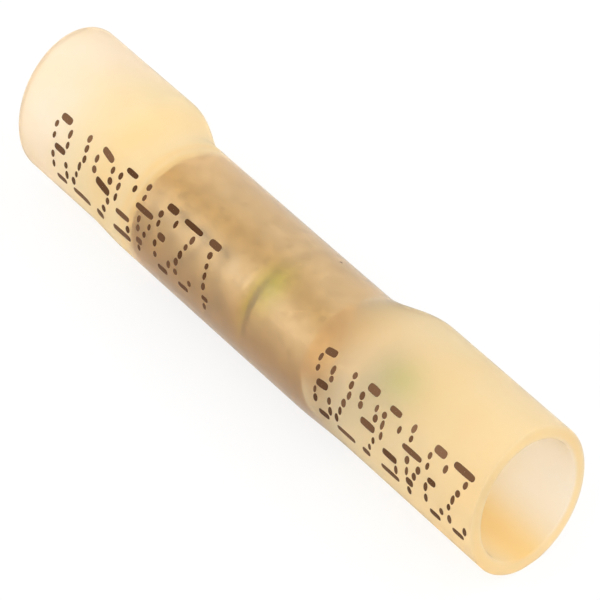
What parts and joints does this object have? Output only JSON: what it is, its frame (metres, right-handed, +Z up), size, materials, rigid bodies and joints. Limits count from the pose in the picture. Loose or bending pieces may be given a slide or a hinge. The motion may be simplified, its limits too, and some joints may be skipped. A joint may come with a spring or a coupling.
{
  "type": "heat shrink butt connector",
  "caption": "Translucent heat shrink sleeve with two open bells, shrunk at its middle onto a metal crimp barrel with a rolled wire stop, for joining two wires end to end.",
  "frame": {"origin": "middle of the bounding box's bottom, on the surface that the connector lies on", "axes": "+X along the sleeve towards its longer bell, +Z up"},
  "size_m": [0.0416, 0.008, 0.0079],
  "materials": {
    "sleeve": "translucent satin",
    "barrel": "tin plated, satin"
  },
  "bodies": {
    "root": {"sleeve": "sleeve", "crimp_barrel": "barrel"}
  },
  "joints": []
}
